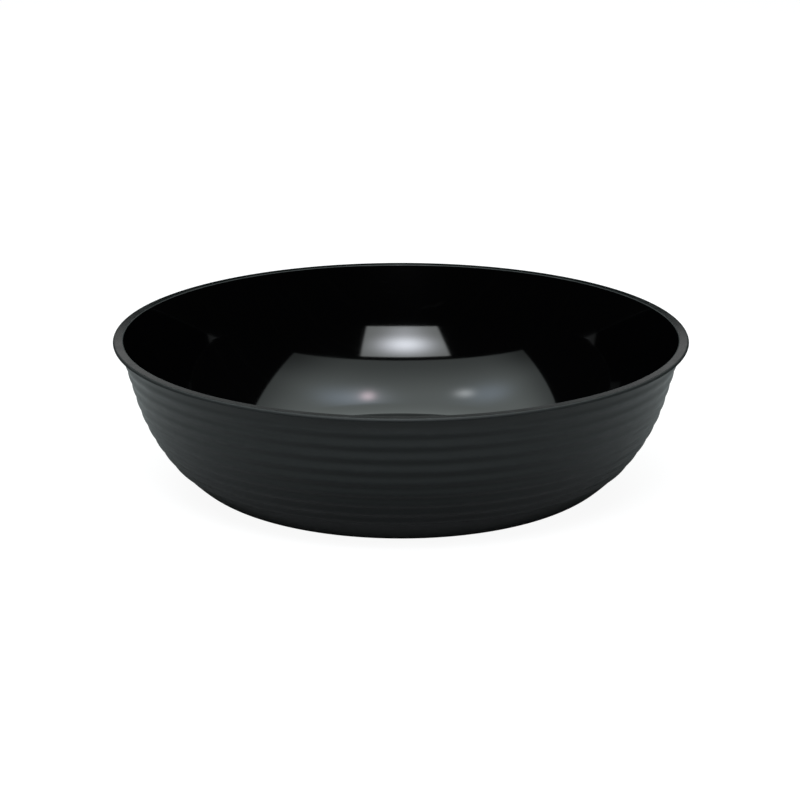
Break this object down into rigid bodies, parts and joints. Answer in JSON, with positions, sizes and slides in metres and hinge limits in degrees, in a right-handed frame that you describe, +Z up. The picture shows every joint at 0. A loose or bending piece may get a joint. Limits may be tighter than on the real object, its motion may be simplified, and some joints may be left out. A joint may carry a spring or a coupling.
{
  "type": "ribbed bowl",
  "caption": "Round black moulded plastic bowl with a flat flared lip, ribs around the outside and a smooth glossy inside, for holding, mixing or washing loose material.",
  "frame": {"origin": "centre of the foot ring's resting plane, on the bowl's axis", "axes": "+Z up along the bowl's axis, out of its mouth; the bowl is round, so X and Y are free"},
  "size_m": [0.3809, 0.381, 0.102],
  "materials": {
    "black_plastic": "polished inside, fine satin outside"
  },
  "bodies": {
    "root": {"bowl": "black_plastic"}
  },
  "joints": []
}
